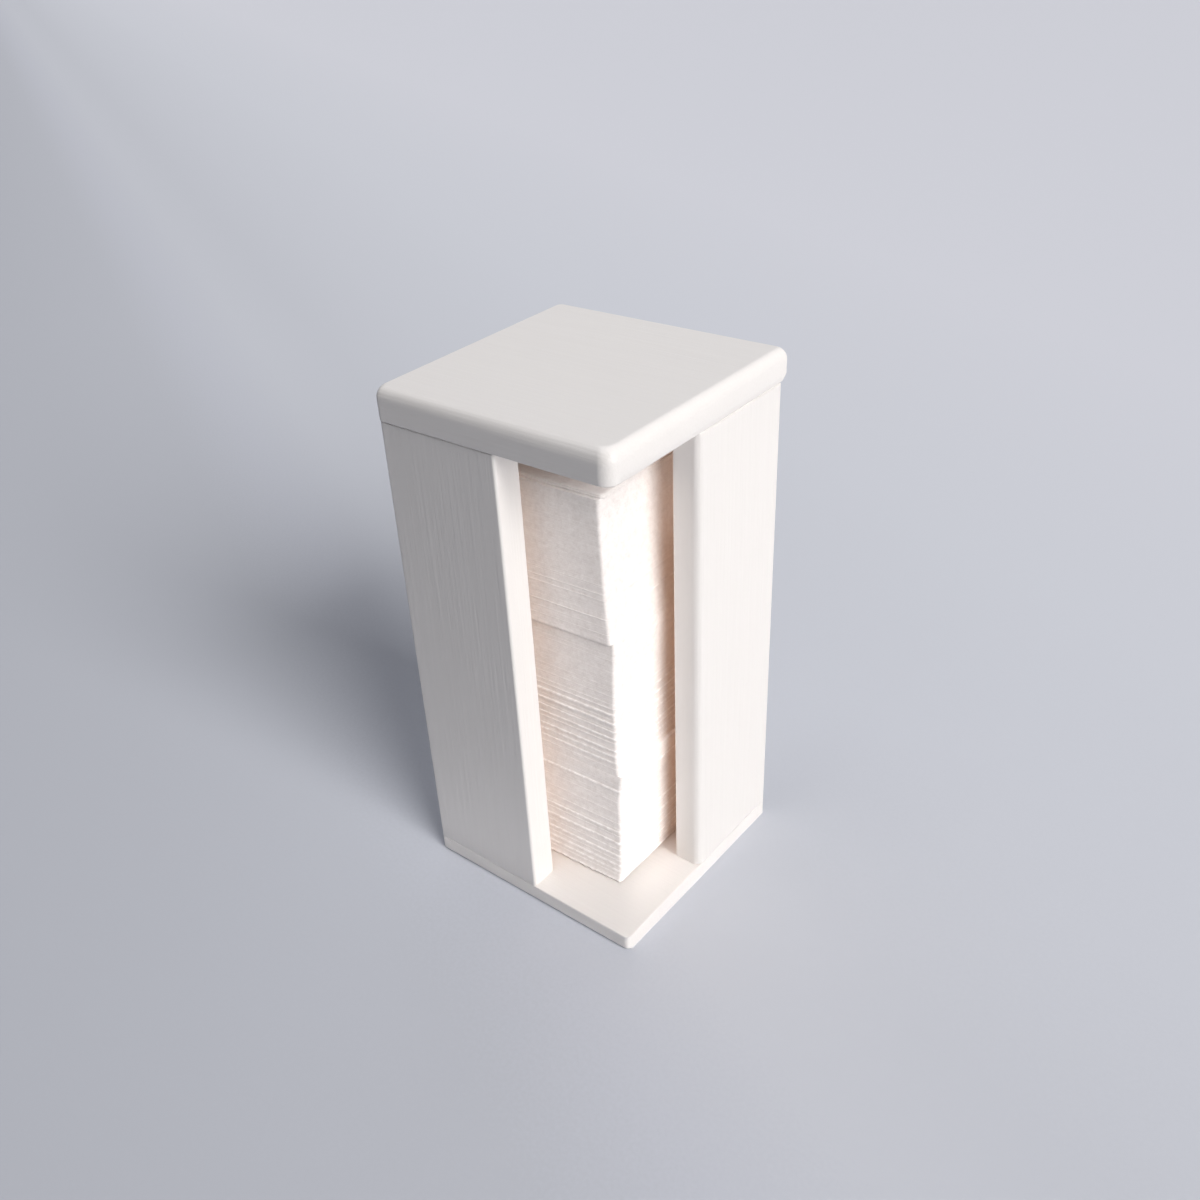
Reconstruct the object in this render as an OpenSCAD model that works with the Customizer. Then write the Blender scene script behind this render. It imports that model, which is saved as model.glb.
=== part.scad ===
// Open-cornered wooden box for a stack of small square wipes, with a lift-off lid.
// The open corner faces +X and -Y. Left and right are as seen by someone facing it.
// The origin is on the floor, under the middle of the box.

/* [Box] */
// Side of one square wipe, which the box is built round
wipe_side = 49; // [40:0.5:70]
// Room across the inside of the box that a wipe leaves over
wipe_room = 8.6; // [6:0.1:16]
// Thickness of the base board
base_t = 5.6; // [4:0.1:9]
// Thickness of the four upright panels
wall_t = 8.7; // [6:0.1:12]
// Height of the panels above the base board
panel_h = 144.2; // [128:0.1:180]
// Width of the left front panel, measured along the face
left_panel_w = 39.8; // [28:0.1:52]
// Width of the right front panel, measured along the face
right_panel_w = 38.8; // [28:0.1:52]

/* [Edges] */
// Radius of the closed upright corners of the box
corner_r = 1.2; // [0.4:0.1:3]
// Radius of the base board at the open corner
base_front_r = 1.8; // [0.4:0.1:4]
// Radius of the outer edge at the free end of the left front panel
left_end_r = 0.8; // [0.3:0.1:3]
// Radius of the outer edge at the free end of the right front panel
right_end_r = 1.8; // [0.3:0.1:3]

/* [Lid] */
// Thickness of the lid board
lid_t = 10.2; // [8:0.1:14]
// How far the lid stands out past the panels on each side
lid_over = 0.3; // [0:0.1:3]
// Radius of the rolled edge round the lid's top
lid_roll_r = 3.4; // [1:0.1:5]
// Radius of the lid's upright corners
lid_corner_r = 2.2; // [0.8:0.1:5]
// Radius of the eased edge round the lid's underside
lid_ease_r = 0.6; // [0.2:0.1:1.5]
// Thickness of the plug that locates the lid in the box
plug_t = 6; // [4:0.1:8]
// Clearance between the plug and the panels on each side
plug_gap = 0.5; // [0.3:0.1:1.5]

/* [Wipes] */
// Height of the lower bundle
lower_h = 42.2; // [30:0.1:50]
// Height of the middle bundle
middle_h = 45.6; // [30:0.1:52]
// Space between the top wipe and the lid's plug
wipe_headroom = 6.8; // [3:0.1:20]
// Height of one visible layer, a pinch of wipes that lie true to each other
layer_h = 2.4; // [1.5:0.1:6]
// Furthest that a layer strays from its bundle's place
layer_stray = 0.3; // [0:0.05:0.5]
// Radius of the wipes' corners
wipe_corner_r = 1; // [0.5:0.1:3]
// How far the lower bundle lies from the left back panel
lower_off_left = 2.4; // [1:0.1:3]
// How far the lower bundle lies from the right back panel
lower_off_right = 0.8; // [0.6:0.1:3]
// How far the middle bundle lies from the left back panel
middle_off_left = 2; // [1:0.1:3]
// How far the middle bundle lies from the right back panel
middle_off_right = 0.6; // [0.6:0.1:3]
// How far the upper bundle lies from the left back panel
upper_off_left = 1; // [0.6:0.1:3]
// How far the upper bundle lies from the right back panel
upper_off_right = 1.6; // [0.6:0.1:3]

/* [Pins] */
// Length of the pins that hold the panels
pin_l = 20; // [14:0.5:26]
// Length of the pins that hold the plug to the lid
plug_pin_l = 12; // [8:0.5:13]
// Diameter of a pin's shank
pin_d = 1.2; // [0.8:0.1:1.8]
// Diameter of a pin's head
pin_head_d = 2.2; // [1.9:0.1:3]
// Thickness of a pin's head
pin_head_t = 0.6; // [0.4:0.1:1]
// Depth of filler and paint over each pin's head
pin_cover = 0.6; // [0.4:0.1:1.2]
// Distance of the plug's pins from its edges
plug_pin_inset = 10; // [5:0.5:16]

/* [Hidden] */
$fn = 48;

paint = "#F1EDE9";
wipe_white = "#F6F3F1";
steel = "#A9ABAE";

// Room round a pin in its hole
pin_gap = 0.05;
// Overrun of every cut past the face that it leaves
cut_over = 1;
// Places of the pins along a panel's width, and up a panel's height
base_pin_shares = [0.3, 0.7];
corner_pin_shares = [0.2, 0.54, 0.88];
// Turn from one layer's stray to the next, in degrees, so that no two near layers lie alike
stray_turn = 137.5;

box_w = wipe_side + wipe_room + 2 * wall_t;
half_w = box_w / 2;
inner = half_w - wall_t;
wall_mid = half_w - wall_t / 2;
panel_top = base_t + panel_h;
lid_w = box_w + 2 * lid_over;
plug_w = 2 * (inner - plug_gap);
plug_bottom = panel_top - plug_t;
stack_h = panel_h - plug_t - wipe_headroom;
upper_h = stack_h - lower_h - middle_h;
left_end = left_panel_w - half_w;
right_end = half_w - right_panel_w;

// Rectangle with its own radius at each corner, anticlockwise from the origin's
module rounded_plan(w, d, radii) {
    corners = [[0, 0], [w, 0], [w, d], [0, d]];
    difference() {
        square([w, d]);
        for (i = [0 : 3])
            if (radii[i] > 0)
                translate(corners[i])
                    rotate(90 * i)
                        difference() {
                            translate([-cut_over, -cut_over])
                                square(radii[i] + cut_over);
                            translate([radii[i], radii[i]])
                                circle(radii[i]);
                        }
    }
}

// Upright panel between two opposite corners of its plan
module panel(low, high, radii) {
    translate([low[0], low[1], base_t])
        linear_extrude(panel_h)
            rounded_plan(high[0] - low[0], high[1] - low[1], radii);
}

// Pin that points up from its head, with its head's flat face at the origin
module pin(length) {
    cylinder(h = pin_head_t, d = pin_head_d);
    cylinder(h = length, d = pin_d);
}

// Hole that such a pin fills
module pin_hole(length) {
    translate([0, 0, -pin_gap])
        cylinder(h = pin_head_t + 2 * pin_gap, d = pin_head_d + 2 * pin_gap);
    cylinder(h = length + pin_gap, d = pin_d + 2 * pin_gap);
}

// Height of a corner pin at a share of the panel's height
function pin_z(share) = base_t + share * panel_h;

// Pins up through the base board into each panel's end grain
module at_base_pins() {
    for (s = base_pin_shares) {
        translate([s * left_panel_w - half_w, -wall_mid, pin_cover])
            children();
        translate([-wall_mid, s * (half_w + inner) - inner, pin_cover])
            children();
        translate([s * 2 * inner - inner, wall_mid, pin_cover])
            children();
        translate([wall_mid, half_w - s * right_panel_w, pin_cover])
            children();
    }
}

// Pins through each panel's face into the next panel's edge
module at_left_front_pins() {
    for (s = corner_pin_shares)
        translate([-wall_mid, pin_cover - half_w, pin_z(s)])
            rotate([-90, 0, 0])
                children();
}

module at_left_back_pins() {
    for (s = corner_pin_shares)
        translate([pin_cover - half_w, wall_mid, pin_z(s)])
            rotate([0, 90, 0])
                children();
}

module at_right_front_pins() {
    for (s = corner_pin_shares)
        translate([half_w - pin_cover, wall_mid, pin_z(s)])
            rotate([0, -90, 0])
                children();
}

// Pins up through the plug into the lid board
module at_plug_pins() {
    reach = plug_w / 2 - plug_pin_inset;
    for (x = [-reach, reach], y = [-reach, reach])
        translate([x, y, plug_bottom + pin_cover])
            children();
}

module base_board() {
    color(paint)
        difference() {
            translate([-half_w, -half_w, 0])
                linear_extrude(base_t)
                    rounded_plan(box_w, box_w, [corner_r, base_front_r, corner_r, corner_r]);
            at_base_pins() pin_hole(pin_l);
        }
}

// Runs from the left corner to its free end beside the opening
module left_front_panel() {
    color(paint)
        difference() {
            panel([-half_w, -half_w], [left_end, -inner], [corner_r, left_end_r, 0, 0]);
            at_base_pins() pin_hole(pin_l);
            at_left_front_pins() pin_hole(pin_l);
        }
}

// Runs from the right corner to its free end beside the opening
module right_front_panel() {
    color(paint)
        difference() {
            panel([inner, right_end], [half_w, half_w], [0, right_end_r, corner_r, 0]);
            at_base_pins() pin_hole(pin_l);
            at_right_front_pins() pin_hole(pin_l);
        }
}

module left_back_panel() {
    color(paint)
        difference() {
            panel([-half_w, -inner], [-inner, half_w], [0, 0, 0, corner_r]);
            at_base_pins() pin_hole(pin_l);
            at_left_front_pins() pin_hole(pin_l);
            at_left_back_pins() pin_hole(pin_l);
        }
}

// Stands between the left back panel and the right front panel
module right_back_panel() {
    color(paint)
        difference() {
            panel([-inner, inner], [inner, half_w], [0, 0, 0, 0]);
            at_base_pins() pin_hole(pin_l);
            at_left_back_pins() pin_hole(pin_l);
            at_right_front_pins() pin_hole(pin_l);
        }
}

module base_pins() {
    color(steel)
        at_base_pins() pin(pin_l);
}

module corner_pins() {
    color(steel) {
        at_left_front_pins() pin(pin_l);
        at_left_back_pins() pin(pin_l);
        at_right_front_pins() pin(pin_l);
    }
}

// Lid's side view, rolled at the top and eased underneath, as long as the lid is wide
module lid_profile() {
    linear_extrude(lid_w)
        rounded_plan(lid_w, lid_t, [lid_ease_r, lid_ease_r, lid_roll_r, lid_roll_r]);
}

module lid_board() {
    color(paint)
        difference() {
            translate([-lid_w / 2, -lid_w / 2, panel_top])
                intersection() {
                    linear_extrude(lid_t)
                        rounded_plan(lid_w, lid_w, [for (i = [0 : 3]) lid_corner_r]);
                    translate([0, lid_w, 0])
                        rotate([90, 0, 0])
                            lid_profile();
                    rotate([90, 0, 90])
                        lid_profile();
                }
            at_plug_pins() pin_hole(plug_pin_l);
        }
}

module lid_plug() {
    color(paint)
        difference() {
            translate([-plug_w / 2, -plug_w / 2, plug_bottom])
                linear_extrude(plug_t)
                    rounded_plan(plug_w, plug_w, [for (i = [0 : 3]) corner_r]);
            at_plug_pins() pin_hole(plug_pin_l);
        }
}

module plug_pins() {
    color(steel)
        at_plug_pins() pin(plug_pin_l);
}

// Bundle of wipes in layers that stray a little from each other
module bundle(off_left, off_right, bottom, height, first) {
    layers = max(1, round(height / layer_h));
    step = height / layers;
    core_in = layer_stray + wipe_corner_r;
    translate([off_left - inner, inner - off_right - wipe_side, bottom]) {
        for (i = [0 : layers - 1])
            translate([layer_stray * cos(stray_turn * (i + first)),
                layer_stray * sin(stray_turn * (i + first)), i * step])
                linear_extrude(step)
                    rounded_plan(wipe_side, wipe_side, [for (k = [0 : 3]) wipe_corner_r]);
        translate([core_in, core_in, 0])
            cube([wipe_side - 2 * core_in, wipe_side - 2 * core_in, height]);
    }
}

module lower_wipes() {
    color(wipe_white)
        bundle(lower_off_left, lower_off_right, base_t, lower_h, 0);
}

module middle_wipes() {
    color(wipe_white)
        bundle(middle_off_left, middle_off_right, base_t + lower_h, middle_h, 5);
}

module upper_wipes() {
    color(wipe_white)
        bundle(upper_off_left, upper_off_right, base_t + lower_h + middle_h, upper_h, 9);
}

base_board();
left_front_panel();
right_front_panel();
left_back_panel();
right_back_panel();
base_pins();
corner_pins();
lid_board();
lid_plug();
plug_pins();
lower_wipes();
middle_wipes();
upper_wipes();
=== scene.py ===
"""Open-cornered wooden wipe box: painted boards, a lift-off lid and a tall stack of nonwoven wipes."""
import math
import random

import bpy
from mathutils import Matrix, Vector, noise


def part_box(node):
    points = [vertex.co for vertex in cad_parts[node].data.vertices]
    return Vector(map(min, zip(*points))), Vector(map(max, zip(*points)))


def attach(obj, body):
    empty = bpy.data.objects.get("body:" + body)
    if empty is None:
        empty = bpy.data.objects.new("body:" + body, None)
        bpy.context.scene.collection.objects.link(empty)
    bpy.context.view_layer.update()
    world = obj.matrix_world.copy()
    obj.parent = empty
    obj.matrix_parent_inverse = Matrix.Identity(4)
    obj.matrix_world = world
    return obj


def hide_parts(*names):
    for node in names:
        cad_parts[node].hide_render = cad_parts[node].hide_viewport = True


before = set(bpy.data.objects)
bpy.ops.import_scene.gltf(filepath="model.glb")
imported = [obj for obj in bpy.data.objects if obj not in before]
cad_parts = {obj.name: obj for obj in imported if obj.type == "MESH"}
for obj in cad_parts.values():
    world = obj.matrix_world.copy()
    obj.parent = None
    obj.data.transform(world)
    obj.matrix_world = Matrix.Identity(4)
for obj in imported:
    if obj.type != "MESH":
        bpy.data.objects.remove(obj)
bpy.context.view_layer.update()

MM = 0.001

# Camera, as solved from the box's edges in the photograph: angles in degrees, lens in mm
EYE = Vector((186.87, -227.46, 270.72)) * MM
HEADING, DIP, ROLL = 42.2143, 33.0463, -4.5545
LENS, SHIFT_X, SHIFT_Y = 35.974, 0.04591, 0.02563

# Boards. Edges that turn by more than SHARP_TURN degrees stay sharp, and UNDERCUT holds the rise and
# inset of each step of the base's sanded left lower edge
ARC_STEPS = 8
SHARP_TURN = 35
CLOSED_CORNER = 1.2 * MM
BASE_CORNER = 1.8 * MM
UNDERCUT = [(0.0, 1.8 * MM), (0.5 * MM, 1.8 * MM), (0.6 * MM, 0.5 * MM), (0.8 * MM, 0.15 * MM),
            (1.1 * MM, 0.0)]
UNDERCUT_FADE = 2 * MM
EDGE_RUN_OUT = 1.5 * MM
LEFT_END_ROUND = 0.8 * MM
RIGHT_END_ROUND = 2.2 * MM
SANDED = 0.4 * MM
RIGHT_TOP_ROUND = 0.9 * MM
JOINT_LINE = 0.12 * MM
FOOT_LINE = 0.15 * MM

# Lid, sanded by hand. Rolls and corners go round from the left front side, anticlockwise. Worn
# is how far its right face sinks towards the near corner, and dip the same for its top
LID_SANDED_OFF = 0.9 * MM
LID_DROP = 3.0 * MM
LID_ROLLS = [3.0 * MM, 2.5 * MM, 1.2 * MM, 1.2 * MM]
LID_CORNERS = [1.8 * MM, 3.8 * MM, 1.2 * MM, 2.2 * MM]
LID_EASE = 0.6 * MM
LID_WORN = 1.4 * MM
LID_DIP = 0.3 * MM
LID_PROUD = Vector((1.0, 0.2, 0)) * MM
LID_PROUD_FROM = 2.6 * MM
PLUG_EASE = 0.8 * MM

# Wipes
WIPE = 49 * MM
WIPE_CORNER = 1.0 * MM
PLY = 0.3 * MM
LEDGE = 0.6 * MM
LOOSE = 3
TOP_CELLS = 36

# Bundles from the lowest, in mm and degrees, drawn after the stack in the photograph. lean is how
# far the wipes reach out to the right at a height, ledges are the heights at which a wipe sticks
# out and its share of LEDGE, turn is how far the left side is turned, even is how far the small
# groups stray, and skip_top is how many of the top wipes are loose ones
BUNDLES = [
    {"name": "lower_bundle", "node": "lower_wipes", "seed": 3, "turn": 1.9, "even": 0.07,
     "lean": [(5, -0.5), (12, 0.5), (20, 0.8), (38, 0.9), (43, 1.4), (48, 2.2)],
     "ledges": [(6.9, 0.9), (8.9, 0.45), (10.8, 0.7), (13.3, 0.65), (15, 0.4), (17.2, 0.8),
                (19.6, 0.55), (22.4, 1.0), (24.8, 0.45), (27, 0.9), (30, 0.4), (34, 0.3),
                (38, 0.35), (42.9, 0.8)]},
    {"name": "middle_bundle", "node": "middle_wipes", "seed": 11, "turn": 1.9, "even": 0.07,
     "lean": [(47, 1.0), (60, 0.8), (70, 0.7), (80, 0.9), (92, 1.4)],
     "ledges": [(50.3, 0.45), (52.7, 0.65), (55.3, 0.65), (57.4, 0.85), (59.6, 0.45), (61.6, 0.65),
                (64, 0.65), (67, 1.0), (69.8, 0.9), (71.6, 0.5), (73.3, 0.4), (76, 0.25), (82, 0.2)]},
    {"name": "upper_bundle", "node": "upper_wipes", "seed": 23, "turn": 2.6, "even": 0.05,
     "lean": [(93, 1.9), (98, 1.7), (107, 1.0), (120, 0.6), (133, 0.3), (137, 0.0)],
     "ledges": [(96.5, 0.3), (99, 0.2), (101.5, 0.6), (107, 0.35), (109, 0.3), (111.5, 0.25)],
     "skip_top": LOOSE},
]


def linear(hexcode):
    """Linear RGBA of an sRGB hex colour."""
    parts = [int(hexcode[k:k + 2], 16) / 255 for k in (1, 3, 5)]
    return (*[c / 12.92 if c <= 0.04045 else ((c + 0.055) / 1.055) ** 2.4 for c in parts], 1)


def add(tree, kind, settings=None, links=None):
    """Adds one node: settings fill its properties and sockets, links feed its sockets."""
    made = tree.nodes.new(kind)
    for key, value in (settings or {}).items():
        if isinstance(key, str) and hasattr(made, key):
            setattr(made, key, value)
        else:
            made.inputs[key].default_value = value
    for key, source in (links or {}).items():
        tree.links.new(source, made.inputs[key])
    return made


def empty_material(name):
    """A new material and its empty node tree."""
    material = bpy.data.materials.new(name)
    material.use_nodes = True
    material.node_tree.nodes.clear()
    return material, material.node_tree


def finish_material(tree, settings, links):
    """Principled shader and output for a material whose patterns are ready."""
    shader = add(tree, "ShaderNodeBsdfPrincipled", settings, links)
    add(tree, "ShaderNodeOutputMaterial", links={"Surface": shader.outputs[0]})


def streaks(tree, across, along, detail=2.0, lying=False):
    """Noise drawn out along the grain, which runs up the box or, in boards lying flat, along X.
    Its size across and along the grain is in metres."""
    place = add(tree, "ShaderNodeTexCoord").outputs["Object"]
    sizes = (along, across, across) if lying else (across, across, along)
    grain = add(tree, "ShaderNodeMapping", {"Scale": tuple(1 / size for size in sizes)},
                {"Vector": place})
    return add(tree, "ShaderNodeTexNoise", {"Scale": 1.0, "Detail": detail, "Roughness": 0.55},
               {"Vector": grain.outputs[0]}).outputs["Fac"]


def tones(tree, fac, stops):
    """Colour ramp over a pattern, from (place, hex) stops."""
    ramp = add(tree, "ShaderNodeValToRGB", links={"Fac": fac})
    ramp.color_ramp.elements[0].position = stops[0][0]
    ramp.color_ramp.elements[0].color = linear(stops[0][1])
    ramp.color_ramp.elements[1].position = stops[-1][0]
    ramp.color_ramp.elements[1].color = linear(stops[-1][1])
    for at, colour in stops[1:-1]:
        ramp.color_ramp.elements.new(at).color = linear(colour)
    return ramp.outputs["Color"]


def span(tree, fac, low, high, new_low=0.0, new_high=1.0):
    """A pattern's values between low and high, spread over new ones."""
    return add(tree, "ShaderNodeMapRange", {"From Min": low, "From Max": high, "To Min": new_low,
               "To Max": new_high}, {"Value": fac}).outputs[0]


def satin_paint_on_wood(name, lying):
    """Water-based satin paint sprayed on sanded birch: an even warm white in which the wood's fine
    grain still stands up as faint streaks, with a soft sheen."""
    material, tree = empty_material(name)
    fine = streaks(tree, 0.7 * MM, 30 * MM, lying=lying)
    broad = streaks(tree, 9 * MM, 60 * MM, 1.0, lying)
    spray = streaks(tree, 0.45 * MM, 0.45 * MM, 1.0)
    both = add(tree, "ShaderNodeMath", {"operation": "MULTIPLY_ADD", 1: 0.4}, {0: broad, 2: fine})
    colour = tones(tree, span(tree, both.outputs[0], 0.45, 0.95), [(0.0, "#E9E5E2"), (1.0, "#EBE7E4")])
    roughness = span(tree, fine, 0.3, 0.7, 0.50, 0.42)
    relief = add(tree, "ShaderNodeMath", {"operation": "MULTIPLY_ADD", 1: 0.35}, {0: spray, 2: fine})
    bump = add(tree, "ShaderNodeBump", {"Strength": 0.7, "Distance": 0.12 * MM},
               {"Height": relief.outputs[0]})
    finish_material(tree, {"IOR": 1.5}, {"Base Color": colour, "Roughness": roughness,
                                         "Normal": bump.outputs[0]})
    return material


def bare_birch():
    """Sanded birch left bare on the inner faces: pale honey, with fine grain up the boards and
    a mist of paint where the spray reached round the opening and over the top edges."""
    material, tree = empty_material("sanded_birch_inner_face")
    fibre = streaks(tree, 0.5 * MM, 18 * MM, 4.0)
    rings = streaks(tree, 5 * MM, 120 * MM, 1.0)
    figure = add(tree, "ShaderNodeMath", {"operation": "MULTIPLY_ADD", 1: 0.6}, {0: fibre, 2: rings})
    wood = tones(tree, span(tree, figure.outputs[0], 0.55, 1.05),
                 [(0.0, "#D2AC8A"), (0.5, "#DEBD9E"), (1.0, "#E8CFB6")])
    place = add(tree, "ShaderNodeSeparateXYZ",
                links={0: add(tree, "ShaderNodeTexCoord").outputs["Object"]})
    spray = streaks(tree, 2 * MM, 3 * MM)
    edge = add(tree, "ShaderNodeMath", {"operation": "SUBTRACT"},
               {0: place.outputs["X"], 1: place.outputs["Y"]}).outputs[0]
    near_opening = span(tree, edge, 27 * MM, 30.5 * MM)
    near_top = span(tree, place.outputs["Z"], 147.5 * MM, 149.8 * MM)
    mist = add(tree, "ShaderNodeMath", {"operation": "MAXIMUM"}, {0: near_opening, 1: near_top})
    ragged = add(tree, "ShaderNodeMath", {"operation": "MULTIPLY_ADD", 1: 0.8, "use_clamp": True},
                 {0: span(tree, spray, 0.35, 0.65, -0.5, 0.5), 2: mist.outputs[0]})
    cover = add(tree, "ShaderNodeMath", {"operation": "MULTIPLY"},
                {0: ragged.outputs[0], 1: mist.outputs[0]}).outputs[0]
    colour = add(tree, "ShaderNodeMix", {"data_type": "RGBA", 7: linear("#EFEBE7")},
                 {0: cover, 6: wood}).outputs[2]
    bump = add(tree, "ShaderNodeBump", {"Strength": 0.4, "Distance": 0.05 * MM}, {"Height": fibre})
    finish_material(tree, {"IOR": 1.5, "Roughness": 0.7},
                    {"Base Color": colour, "Normal": bump.outputs[0]})
    return material


def spunlaced_viscose():
    """Nonwoven wipes, tangled by water jets from viscose fibres: a soft warm white with no gloss,
    cloudy where the fibres lie thick or thin. The bundles' proud attribute paints light and shade
    onto this white: edges that stand proud are painted lighter, a painted highlight, and the
    grooves between wipes and the torn recesses at the foot are painted darker, a painted shade.
    The fibres themselves are a fiftieth of a millimetre, so their tangle is drawn 0.4 mm wide."""
    material, tree = empty_material("spunlaced_viscose")
    cloud = streaks(tree, 1.6 * MM, 1.6 * MM, 3.0)
    tangle = streaks(tree, 0.4 * MM, 0.4 * MM, 3.0)
    both = add(tree, "ShaderNodeMath", {"operation": "MULTIPLY_ADD", 1: 0.5}, {0: tangle, 2: cloud})
    # Painted light: the proud attribute lightens proud edges (painted highlight) and darkens grooves and
    # torn recesses (painted shade)
    proud = add(tree, "ShaderNodeAttribute", {"attribute_name": "proud"}).outputs["Fac"]
    cloud_and_painted_light = add(tree, "ShaderNodeMath", {"operation": "ADD"},
                {0: span(tree, both.outputs[0], 0.5, 1.0, 0.22, 0.68), 1: proud})
    colour = tones(tree, cloud_and_painted_light.outputs[0], [(0.0, "#DEDAD7"), (0.35, "#ECE9E7"), (0.65, "#F2F0EE"),
                                            (1.0, "#FFFEFD")])
    bump = add(tree, "ShaderNodeBump", {"Strength": 0.5, "Distance": 0.11 * MM},
               {"Height": both.outputs[0]})
    finish_material(tree, {"IOR": 1.45, "Roughness": 0.95, "Specular IOR Level": 0.2,
                           "Sheen Weight": 0.1, "Sheen Roughness": 0.6},
                    {"Base Color": colour, "Normal": bump.outputs[0]})
    return material


def drawn_steel():
    """Bright steel wire, drawn through a die: grey metal with fine scratches along the pin."""
    material, tree = empty_material("drawn_steel_wire")
    scratch = streaks(tree, 0.1 * MM, 2 * MM)
    colour = tones(tree, scratch, [(0.3, "#A3A5A8"), (0.7, "#C2C4C6")])
    roughness = span(tree, scratch, 0.3, 0.7, 0.25, 0.4)
    finish_material(tree, {"Metallic": 1.0}, {"Base Color": colour, "Roughness": roughness})
    return material


def plan_ring(low, high, radii, z, inset=0.0, stations=(), mask=None):
    """A board's outline at one height, anticlockwise from its low corner. stations are extra
    points (side, place) along the sides, and mask says how far each point takes the inset."""
    ring = []
    corners = [(low[0], low[1]), (high[0], low[1]), (high[0], high[1]), (low[0], high[1])]
    inward = [(1, 1), (-1, 1), (-1, -1), (1, -1)]
    for k, (corner, way) in enumerate(zip(corners, inward)):
        full = radii[k]
        less = max(full - inset, 0.25 * full)
        steps = ARC_STEPS if full > 0.3 * MM else 2
        for s in range(steps + 1):
            turn = math.pi + (k + s / steps) * math.pi / 2
            outer = [corner[a] + full * way[a] + full * (math.cos(turn), math.sin(turn))[a]
                     for a in (0, 1)]
            inner = [corner[a] + (inset + less) * way[a] + less * (math.cos(turn), math.sin(turn))[a]
                     for a in (0, 1)]
            ring.append((outer, inner))
        for side, at in stations:
            if side == k:
                along = 0 if k in (0, 2) else 1
                outer = [at, at]
                outer[1 - along] = corner[1 - along]
                inner = list(outer)
                inner[1 - along] += inset * way[1 - along]
                ring.append((outer, inner))
    points = []
    for outer, inner in ring:
        share = mask(outer) if mask else 1.0
        points.append((*[o + (i - o) * share for o, i in zip(outer, inner)], z))
    return points


def loft(name, rings, material, extra=None):
    """A closed solid through rings of equally many points, from the lowest to the highest."""
    count = len(rings[0])
    faces = [tuple(reversed(range(count)))]
    for j in range(len(rings) - 1):
        for i in range(count):
            a, b = j * count + i, j * count + (i + 1) % count
            faces.append((a, b, b + count, a + count))
    faces.append(tuple(range((len(rings) - 1) * count, len(rings) * count)))
    mesh = bpy.data.meshes.new(name)
    mesh.from_pydata([p for ring in rings for p in ring], [], faces)
    mesh.materials.append(material)
    if extra:
        mesh.materials.append(extra)
    piece = bpy.data.objects.new(name, mesh)
    bpy.context.collection.objects.link(piece)
    return piece


def smooth(piece):
    """Rounds shade smoothly into flat faces, which stay flat."""
    piece.data.shade_smooth()
    piece.data.set_sharp_from_angle(angle=math.radians(SHARP_TURN))
    weigh = piece.modifiers.new("weigh_flats", "WEIGHTED_NORMAL")
    weigh.keep_sharp = True
    weigh.weight = 100


def fit_out(piece, body, slot, *nodes):
    """Rides the piece on its body and hides the CAD parts that it stands for. slot, what it is finished
    in, is not used.
    """
    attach(piece, body)
    if nodes:
        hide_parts(*nodes)


def clamp(value):
    """The value, held between 0 and 1."""
    return min(max(value, 0), 1)


def quarter_round(radius, steps=5):
    """Height and inset of each step of a rounded top edge, measured from where it begins."""
    turns = [s / steps * math.pi / 2 for s in range(steps + 1)]
    return [(radius * math.sin(turn), radius * (1 - math.cos(turn))) for turn in turns]


PAINT = satin_paint_on_wood("satin_paint_on_upright_birch", False)
LYING_PAINT = satin_paint_on_wood("satin_paint_on_lying_birch", True)
BIRCH = bare_birch()
VISCOSE = spunlaced_viscose()
STEEL = drawn_steel()

# Where the front panels end at the open corner
LEFT_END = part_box("left_front_panel")[1].x
RIGHT_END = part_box("right_front_panel")[0].y


def base_board():
    """Square board whose top edge is sanded round only where the opening leaves it bare. Its
    left lower edge was sanded back, so a thin shadow runs under it."""
    low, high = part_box("base_board")
    radii = [CLOSED_CORNER, BASE_CORNER, CLOSED_CORNER, CLOSED_CORNER]
    stations = [(0, LEFT_END), (0, LEFT_END + EDGE_RUN_OUT), (1, RIGHT_END - EDGE_RUN_OUT),
                (1, RIGHT_END)]

    def open_corner(p):
        return clamp((p[0] - LEFT_END) / EDGE_RUN_OUT) * clamp((RIGHT_END - p[1]) / EDGE_RUN_OUT)

    def left_side(p):
        return clamp(1 - (p[1] - low.y) / UNDERCUT_FADE)

    rings = [plan_ring(low, high, radii, low.z + rise, inset, stations, left_side)
             for rise, inset in UNDERCUT]
    rings += [plan_ring(low, high, radii, high.z - SANDED + rise, inset, stations, open_corner)
              for rise, inset in quarter_round(SANDED)]
    piece = loft("painted_base_board", rings, LYING_PAINT)
    smooth(piece)
    fit_out(piece, "box", "painted_wood", "base_board")
    return piece


def upright_panel(node, radii, inner_way, top_round=SANDED):
    """Panel with its top edges sanded round, painted outside and bare on its inner face."""
    low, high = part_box(node)
    rings = [plan_ring(low, high, radii, low.z, FOOT_LINE),
             plan_ring(low, high, radii, low.z + FOOT_LINE)]
    rings += [plan_ring(low, high, radii, high.z - top_round + rise, inset)
              for rise, inset in quarter_round(top_round)]
    piece = loft("painted_" + node, rings, PAINT, BIRCH)
    for face in piece.data.polygons:
        if face.normal.dot(inner_way) > 0.99:
            face.material_index = 1
    smooth(piece)
    fit_out(piece, "box", "painted_wood", node)
    return piece


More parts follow.
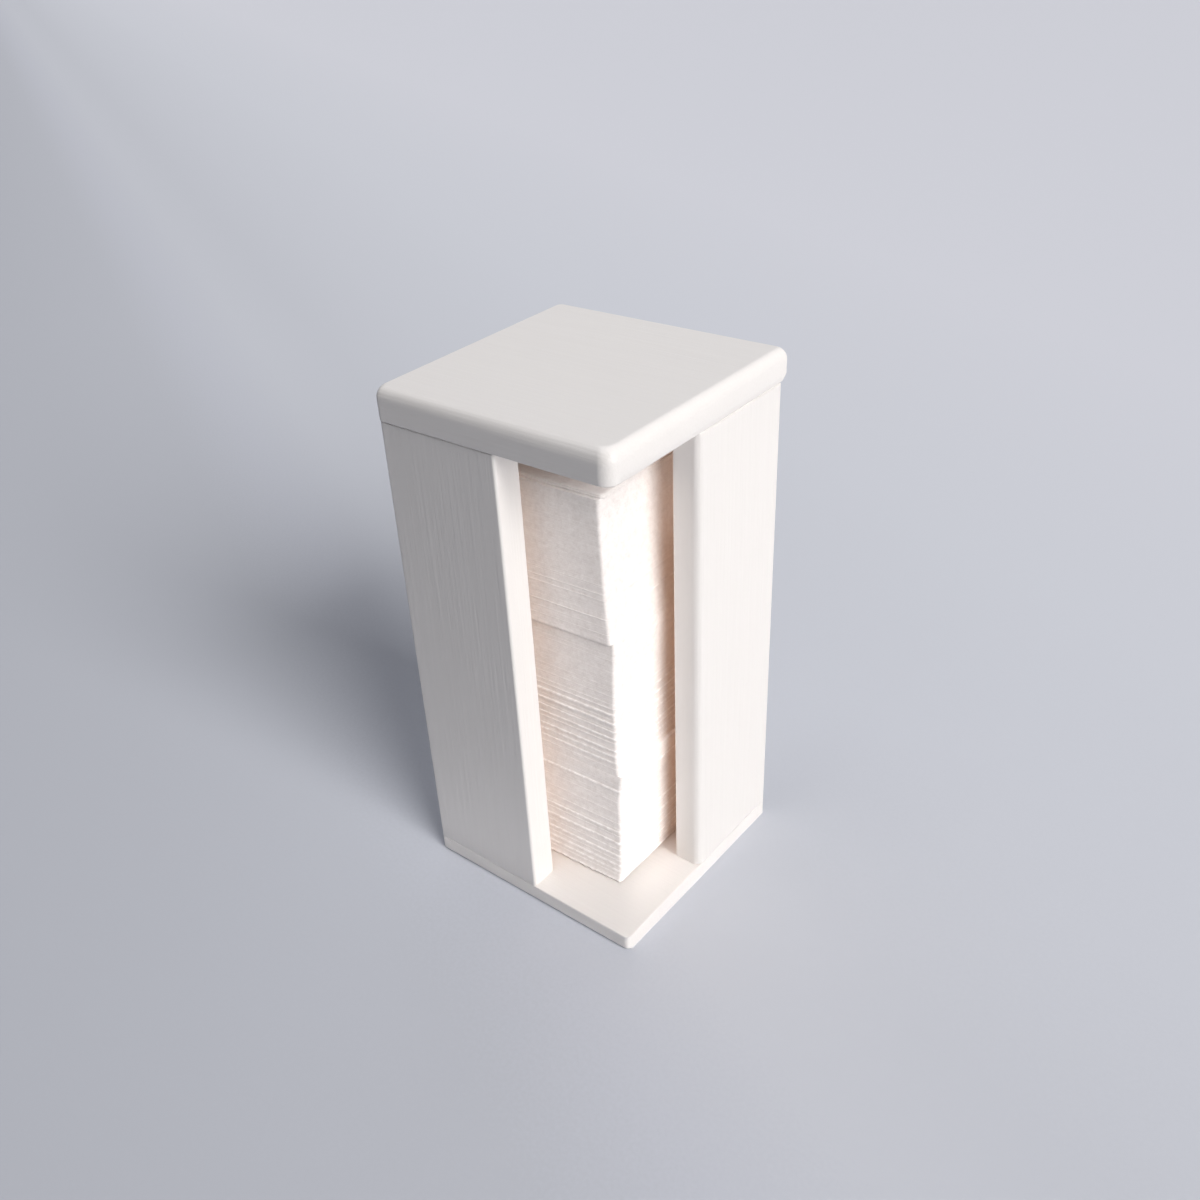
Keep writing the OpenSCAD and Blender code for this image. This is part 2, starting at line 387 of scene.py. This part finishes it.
def lid_board():
    """Slab with a rolled top edge, broader towards the near corner, and a sanded lower one. Its far
    right corner was left a little proud, above an undercut."""
    low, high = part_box("lid_board")
    side_low = low.z + LID_EASE
    side_high = high.z - LID_SANDED_OFF - LID_DROP

    def lid_ring(z, share, inset=0.0):
        """Outline at one height: share is how much of each side's roll is taken off there."""
        rolled = [roll * share for roll in LID_ROLLS]
        radii = [corner * (1 - 0.3 * share) for corner in LID_CORNERS]
        ring = plan_ring(low + Vector((rolled[3], rolled[0], 0)),
                         high - Vector((rolled[1], rolled[2], 0)), radii, z, inset)
        above = clamp((z - low.z) / LID_PROUD_FROM)
        side = clamp((z - side_low) / (side_high - side_low))
        roll = clamp((z - side_high) / LID_DROP)
        points = []
        for x, y, z in ring:
            right = (x - low.x) / (high.x - low.x)
            back = (y - low.y) / (high.y - low.y)
            push = LID_PROUD * (right * back) ** 8 * above * above * (3 - 2 * above)
            sink = (LID_WORN * right ** 1.5 * (1 - back) ** 4 * side * (1 - roll)
                    + LID_DIP * (right * (1 - back)) ** 2 * roll)
            points.append((x + push.x, y + push.y, z - sink))
        return points

    rings = [lid_ring(side_low - rise, 0.0, inset) for rise, inset in reversed(quarter_round(LID_EASE))]
    rings += [lid_ring(side_low + k / 6 * (side_high - side_low), 0.0) for k in range(1, 6)]
    rings += [lid_ring(side_high + rise, inset / LID_DROP) for rise, inset in quarter_round(LID_DROP, 12)]
    piece = loft("painted_lid_board", rings, LYING_PAINT)
    smooth(piece)
    fit_out(piece, "lid", "painted_wood", "lid_board")


def lid_plug():
    """Square block under the lid, sanded round its lower edge so that it finds the box."""
    low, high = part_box("lid_plug")
    rings = [plan_ring(low, high, [CLOSED_CORNER] * 4, low.z + PLUG_EASE - rise, inset)
             for rise, inset in reversed(quarter_round(PLUG_EASE))]
    rings.append(plan_ring(low, high, [CLOSED_CORNER] * 4, high.z))
    piece = loft("painted_lid_plug", rings, LYING_PAINT)
    smooth(piece)
    fit_out(piece, "lid", "painted_wood", "lid_plug")


def perimeter():
    """Points round one wipe, anticlockwise, with the way each faces. The two sides that show
    have a point every 0.7 mm, and the two against the walls have few."""
    half, r = WIPE / 2, WIPE_CORNER
    points = []
    for k, many in enumerate((68, 68, 8, 8)):
        turn = k * math.pi / 2
        spin = Matrix.Rotation(turn, 2)
        for s in range(4):
            angle = math.pi + s / 4 * math.pi / 2
            face = Vector((math.cos(angle), math.sin(angle)))
            points.append((spin @ (Vector((r - half, r - half)) + r * face), spin @ face))
        for s in range(many):
            along = r - half + s / many * (WIPE - 2 * r)
            points.append((spin @ Vector((along, -half)), spin @ Vector((0, -1))))
    return points


def between(knots, at):
    """Value at a place among (place, value) knots, with straight lines between them."""
    for (a, va), (b, vb) in zip(knots, knots[1:]):
        if at <= b:
            return va + (vb - va) * max(at - a, 0) / (b - a)
    return knots[-1][1]


def ripple(x, y, z, across, up, seed):
    """Smooth noise from about -1 to 1 over places in mm, with its sizes across and up in mm."""
    return noise.noise(Vector((x / across, y / across, z / up + seed)))


def bundle(name, node, seed, lean, turn, ledges, even, skip_top=0):
    """A bundle of wipes as one closed shell whose sides are the wipes' own edges. A ledge that
    sticks out far is two wipes thick, and its edge sticks out further and is painted lighter in
    dashes, a painted highlight. The lowest two wipes of the stack are torn back, and their
    recesses and the grooves between wipes are painted darker, a painted shade. BUNDLES says what
    the arguments are."""
    low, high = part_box(node)
    middle = (low + high) / 2
    plies = round((high.z - low.z) / PLY) - skip_top
    pick = random.Random(seed)
    outline = perimeter()
    torn_plies = (0, 1) if node == "lower_wipes" else ()
    top_round = 0.0 if skip_top else 0.4
    rings = []
    painted_light_and_shade = []
    left_in_group = 0
    for i in range(plies):
        height = low.z + i * PLY
        if left_in_group == 0:
            left_in_group = pick.choice((3, 3, 4))
            group = Vector((pick.uniform(-even, even), pick.uniform(-even, even))) * MM
        left_in_group -= 1
        proud = pick.uniform(0.2, 0.8) * even * MM if left_in_group == 0 else 0.0
        dashes = i
        for at, share in ledges:
            thick = 0.6 if share > 0.6 else 0.3
            if 0 <= at - height / MM < thick:
                proud = share * LEDGE
                dashes = at
        own = Vector((pick.uniform(-0.4, 0.4), pick.uniform(-0.4, 0.4))) * even * MM
        shift = group + own + Vector((between(lean, height / MM) * MM, 0))
        rounded = top_round * MM * math.exp(-(plies - 1 - i) * PLY / (0.6 * MM))
        for rise, tuck in ((0.0, 0.15), (0.08, 0.03), (0.2, 0.0)):
            z = height + rise * MM * PLY / (0.3 * MM)
            ring = []
            for place, face in outline:
                x, y, up = place.x / MM, place.y / MM, z / MM
                wave = ripple(x, y, up, 1.4, 0.8, seed)
                swell = ripple(x, y, up, 9, 5, 3 * seed)
                dash = ripple(x, y, 7.0 * dashes, 0.9, 1, seed)
                torn = ripple(x, y, 0.5, 1.3, 1, seed)
                bright = 1.0 if dash > -0.1 else 0.25
                poke = proud * (0.75 + 0.25 * bright)
                frayed = 1.2 * min(max(0.35 + 7 * torn, -0.15), 1.0) * MM if i in torn_plies else 0.0
                out = (0.03 * wave + 0.1 * swell - tuck) * MM + poke - frayed - rounded
                # Painted highlight and shade: a proud edge is painted lighter in its bright dashes, a
                # torn recess is painted darker, and the groove ring between wipes gets -0.35, painted
                # darker too
                edge_light_and_shade = min(1.3 * poke * bright / MM, 0.6) - max(frayed / MM, 0.0)
                painted_light_and_shade.append(edge_light_and_shade if rise else -0.35)
                at = place + face * out + shift
                slant = math.tan(math.radians(turn)) * (WIPE / 2 - place.x)
                ring.append((middle.x + at.x, middle.y + at.y - slant, z))
            rings.append(ring)
    top = low.z + plies * PLY
    rings.append([(x, y, top) for x, y, z in rings[-3]])
    painted_light_and_shade += [0.0] * len(outline)
    piece = loft(name, rings, VISCOSE)
    piece.data.attributes.new("proud", "FLOAT", "POINT").data.foreach_set("value", painted_light_and_shade)
    piece.data.shade_smooth()
    fit_out(piece, "box", "wipe", node)
    return piece, top, middle


def top_wipe(k, rest, middle):
    """One loose wipe on top of the stack, nearly flat, with its edges a little lifted."""
    cells = TOP_CELLS
    pick = random.Random(70 + k)
    spin = Matrix.Rotation(math.radians(2.2 + pick.uniform(-0.7, 0.7)), 2)
    shift = Vector((pick.uniform(-0.25, 0.25), pick.uniform(-0.25, 0.25))) * MM
    half, r = WIPE / 2, WIPE_CORNER
    upper, lower = [], []
    for a in range(cells + 1):
        for b in range(cells + 1):
            x, y = (a / cells * 2 - 1) * half, (b / cells * 2 - 1) * half
            if a in (0, cells) and b in (0, cells):
                x, y = x * (1 - 0.3 * r / half), y * (1 - 0.3 * r / half)
            at = spin @ Vector((x, y)) + shift
            edge = max(abs(x), abs(y)) / half
            lift = max(edge - 0.8, 0) / 0.2
            rough = noise.noise(Vector((at.x, at.y, 0)) * 1000 / 7 + Vector((0, 0, 5.0)))
            rise = (0.02 * (k + 1) * lift * (1 + rough)) * MM + k * (PLY + 0.01 * MM)
            place = (middle.x + at.x, middle.y + at.y, rest + rise)
            lower.append(place)
            upper.append((place[0], place[1], place[2] + PLY * 0.9))
    side = cells + 1
    rim = ([a * side for a in range(side)] + [cells * side + b for b in range(1, side)]
           + [a * side + cells for a in range(cells - 1, -1, -1)] + list(range(cells - 1, 0, -1)))
    faces = []
    for a in range(cells):
        for b in range(cells):
            p = a * side + b
            faces.append((p, p + 1, p + side + 1, p + side))
            q = p + side * side
            faces.append((q, q + side, q + side + 1, q + 1))
    for p, q in zip(rim, rim[1:] + rim[:1]):
        faces.append((p, q, q + side * side, p + side * side))
    mesh = bpy.data.meshes.new(f"top_wipe_{k + 1}")
    mesh.from_pydata(lower + upper, [], faces)
    mesh.materials.append(VISCOSE)
    piece = bpy.data.objects.new(mesh.name, mesh)
    bpy.context.collection.objects.link(piece)
    piece.data.shade_smooth()
    fit_out(piece, "box", "wipe")
    return piece


def pins():
    """The pins stay hidden in the wood, as the CAD has them."""
    for node in ("base_pins", "corner_pins", "plug_pins"):
        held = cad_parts[node]
        held.data.materials.clear()
        held.data.materials.append(STEEL)


def studio(base, right_panel, stack):
    """Pale paper floor under soft lamps: a large soft light from the right and a weak pale one
    from above and behind. The paper's colour carries painted light falloff, darker to the front
    and left. The whites lie so near to pure white on the wipes, and so far below it on the
    boards, that each lamp is set for the pieces that it lights."""
    material, tree = empty_material("matt_paper_floor_painted_falloff")
    tooth = span(tree, streaks(tree, 1.2 * MM, 1.2 * MM, 1.0), 0.3, 0.7, -8 * MM, 8 * MM)
    # Painted light falloff: the paper's colour is darker towards the front and left and lighter towards
    # the back and right, standing in for light falling off across the paper
    along = add(tree, "ShaderNodeVectorMath", {"operation": "DOT_PRODUCT", 1: (0.5, 1, 0)},
                {0: add(tree, "ShaderNodeTexCoord").outputs["Object"]})
    place = add(tree, "ShaderNodeMath", {"operation": "ADD"}, {0: along.outputs["Value"], 1: tooth})
    colour = tones(tree, span(tree, place.outputs[0], -0.5, 0.5),
                   [(0.0, "#A9ACB5"), (0.35, "#B6B9C2"), (0.42, "#BABDC6"), (0.46, "#C1C4CE"),
                    (0.5, "#C6C9D2"), (0.55, "#C5C8D1"), (0.62, "#CACDD6"), (0.75, "#D0D3DC"),
                    (1.0, "#D6D8E1")])
    finish_material(tree, {"Roughness": 0.9, "Specular IOR Level": 0.2}, {"Base Color": colour})
    mesh = bpy.data.meshes.new("paper_floor")
    reach = 6.0
    mesh.from_pydata([(-reach, -reach, 0), (reach, -reach, 0), (reach, reach, 0), (-reach, reach, 0)],
                     [], [(0, 1, 2, 3)])
    mesh.materials.append(material)
    floor = bpy.data.objects.new("paper_floor", mesh)
    bpy.context.collection.objects.link(floor)

    def soft_lamp(name, heading, height, width, strength, colour, only=None, but=None):
        """A far lamp: heading, height and width in degrees, and a strength that lights a white
        face square to it to white at 1. only and but are the pieces that it lights or leaves out."""
        lamp = bpy.data.lights.new(name, "SUN")
        lamp.energy = strength * math.pi
        lamp.angle = math.radians(width)
        lamp.color = linear(colour)[:3]
        lit = bpy.data.objects.new(name, lamp)
        way = Vector((math.cos(math.radians(heading)) * math.cos(math.radians(height)),
                      math.sin(math.radians(heading)) * math.cos(math.radians(height)),
                      math.sin(math.radians(height))))
        lit.rotation_euler = way.to_track_quat("Z", "Y").to_euler()
        bpy.context.collection.objects.link(lit)
        if only:
            lit.light_linking.receiver_collection = only
        if but:
            leave_out(lit, but)

    def glow(name, place, way, wide, high, strength, colour, but=None):
        """Light that bounces about in a narrow place, as a small soft lamp that the camera doesn't
        see. Its place and size are in mm, and way is where it shines."""
        lamp = bpy.data.lights.new(name, "AREA")
        lamp.shape = "RECTANGLE"
        lamp.size, lamp.size_y = wide * MM, high * MM
        lamp.energy = strength * lamp.size * lamp.size_y * math.pi
        lamp.color = linear(colour)[:3]
        lit = bpy.data.objects.new(name, lamp)
        lit.location = Vector(place) * MM
        lit.rotation_euler = Vector(way).to_track_quat("-Z", "Y").to_euler()
        lit.visible_camera = False
        bpy.context.collection.objects.link(lit)
        if but:
            leave_out(lit, but)

    def leave_out(lit, held):
        """The lamp lights everything but the pieces held."""
        lit.light_linking.receiver_collection = held
        for linked in held.collection_objects:
            linked.light_linking.link_state = "EXCLUDE"

    def group(name, *pieces):
        """A collection of pieces, for a lamp that lights only these or leaves them out."""
        held = bpy.data.collections.new(name)
        for piece in pieces:
            held.objects.link(piece)
        return held

    # A tall softbox in four bands, then lamps by what they light, then the glow in narrow places
    for k, (height, strength) in enumerate(((6, 0.345), (18, 0.235), (30, 0.245), (42, 0.12))):
        soft_lamp(f"tall_softbox_{k + 1}", -7, height, 14, strength, "#FFFDFA",
                  but=group(f"not_boards_{k + 1}", floor, *stack))
    soft_lamp("softbox_on_wipes", -16, 30, 46, 1.17, "#FFFAF7", group("wipes", *stack))
    soft_lamp("room_on_wipes", -75, 50, 60, 0.185, "#FFEEEB", group("wipes_too", *stack))
    soft_lamp("softbox_on_paper", -15.5, 30.5, 34, 1.245, "#FFFDFA", group("paper", floor))
    soft_lamp("ceiling_bounce", 120, 82, 60, 0.6, "#FAFBFF", but=group("above_base", floor, base))
    soft_lamp("ceiling_on_base", -70, 74, 60, 0.49, "#FCFAFB", group("base", base))
    soft_lamp("ceiling_behind_base", 131, 30, 40, 0.15, "#FAFBFF", group("base_behind", base))
    soft_lamp("wipes_on_right_end", -95, 20, 60, 0.04, "#FFF6F2", group("right_panel", right_panel))
    soft_lamp("room_behind", 120, 0, 40, 0.12, "#F4F6FA", but=group("not_boards_behind", floor, *stack))
    soft_lamp("ceiling_on_paper", 159, 70, 60, 0.31, "#FAFBFF", group("paper_too", floor))
    glow("right_gap_glow", (28.7, 12, 74), (-1, 0, 0), 26, 134, 0.125, "#FFD2B6")
    glow("right_gap_top_glow", (28.7, 12, 128), (-1, 0, 0), 26, 26, 0.13, "#FFFAF8")
    glow("lid_gap_glow", (4, -4, 145.5), (0, 0, -1), 50, 50, 0.2, "#FFF6F2")
    glow("left_foot_glow", (-12, -28.7, 30), (0, 1, 0), 26, 50, 0.1, "#FFF6F4")
    glow("paper_glow", (-5, -75, 3), (0, 0, 1), 90, 60, 0.32, "#F4F5FA", group("base_too", base))
    glow("left_gap_glow", (-12, -28.7, 74), (0, 1, 0), 26, 134, 0.16, "#FFFAF6")
    glow("wipes_glow", (26, -12, 72), (1, 0, 0), 17, 130, 0.5, "#FFF6EE")

    # The air adds a little light, and shows the camera the paper's own tone beyond its edge
    world = bpy.data.worlds.new("studio_air")
    world.use_nodes = True
    world.node_tree.nodes.clear()
    air = world.node_tree
    ray = add(air, "ShaderNodeLightPath").outputs["Is Camera Ray"]
    dim = add(air, "ShaderNodeBackground", {"Color": linear("#F4F5FA"), "Strength": 0.025})
    seen = add(air, "ShaderNodeBackground", {"Color": linear("#CACCD5"), "Strength": 1.0})
    mix = add(air, "ShaderNodeMixShader", links={0: ray, 1: dim.outputs[0], 2: seen.outputs[0]})
    add(air, "ShaderNodeOutputWorld", links={"Surface": mix.outputs[0]})
    bpy.context.scene.world = world


def camera():
    """The photograph's camera."""
    lens = bpy.data.cameras.new("photo_camera")
    lens.lens, lens.sensor_width = LENS, 36
    lens.shift_x, lens.shift_y = SHIFT_X, SHIFT_Y
    lens.clip_start = 0.01
    held = bpy.data.objects.new("photo_camera", lens)
    held.matrix_world = (Matrix.Translation(EYE) @ Matrix.Rotation(math.radians(HEADING), 4, "Z")
                         @ Matrix.Rotation(math.radians(90 - DIP), 4, "X")
                         @ Matrix.Rotation(math.radians(ROLL), 4, "Z"))
    bpy.context.collection.objects.link(held)
    bpy.context.scene.camera = held


camera()
base = base_board()
upright_panel("left_front_panel", [CLOSED_CORNER, LEFT_END_ROUND, SANDED, JOINT_LINE], Vector((0, 1, 0)))
right_panel = upright_panel("right_front_panel",
                            [CLOSED_CORNER, RIGHT_END_ROUND, CLOSED_CORNER, JOINT_LINE],
                            Vector((-1, 0, 0)), RIGHT_TOP_ROUND)
upright_panel("left_back_panel", [JOINT_LINE, JOINT_LINE, JOINT_LINE, CLOSED_CORNER], Vector((1, 0, 0)))
upright_panel("right_back_panel", [JOINT_LINE, JOINT_LINE, JOINT_LINE, JOINT_LINE], Vector((0, -1, 0)))
lid_board()
lid_plug()
pins()
stack = []
for facts in BUNDLES:
    piece, stack_top, stack_middle = bundle(**facts)
    stack.append(piece)
for k in range(LOOSE):
    stack.append(top_wipe(k, stack_top, stack_middle))
studio(base, right_panel, stack)
bpy.context.scene.view_settings.view_transform = "Standard"
bpy.context.scene.cycles.diffuse_bounces = 16
bpy.context.scene.cycles.max_bounces = 24
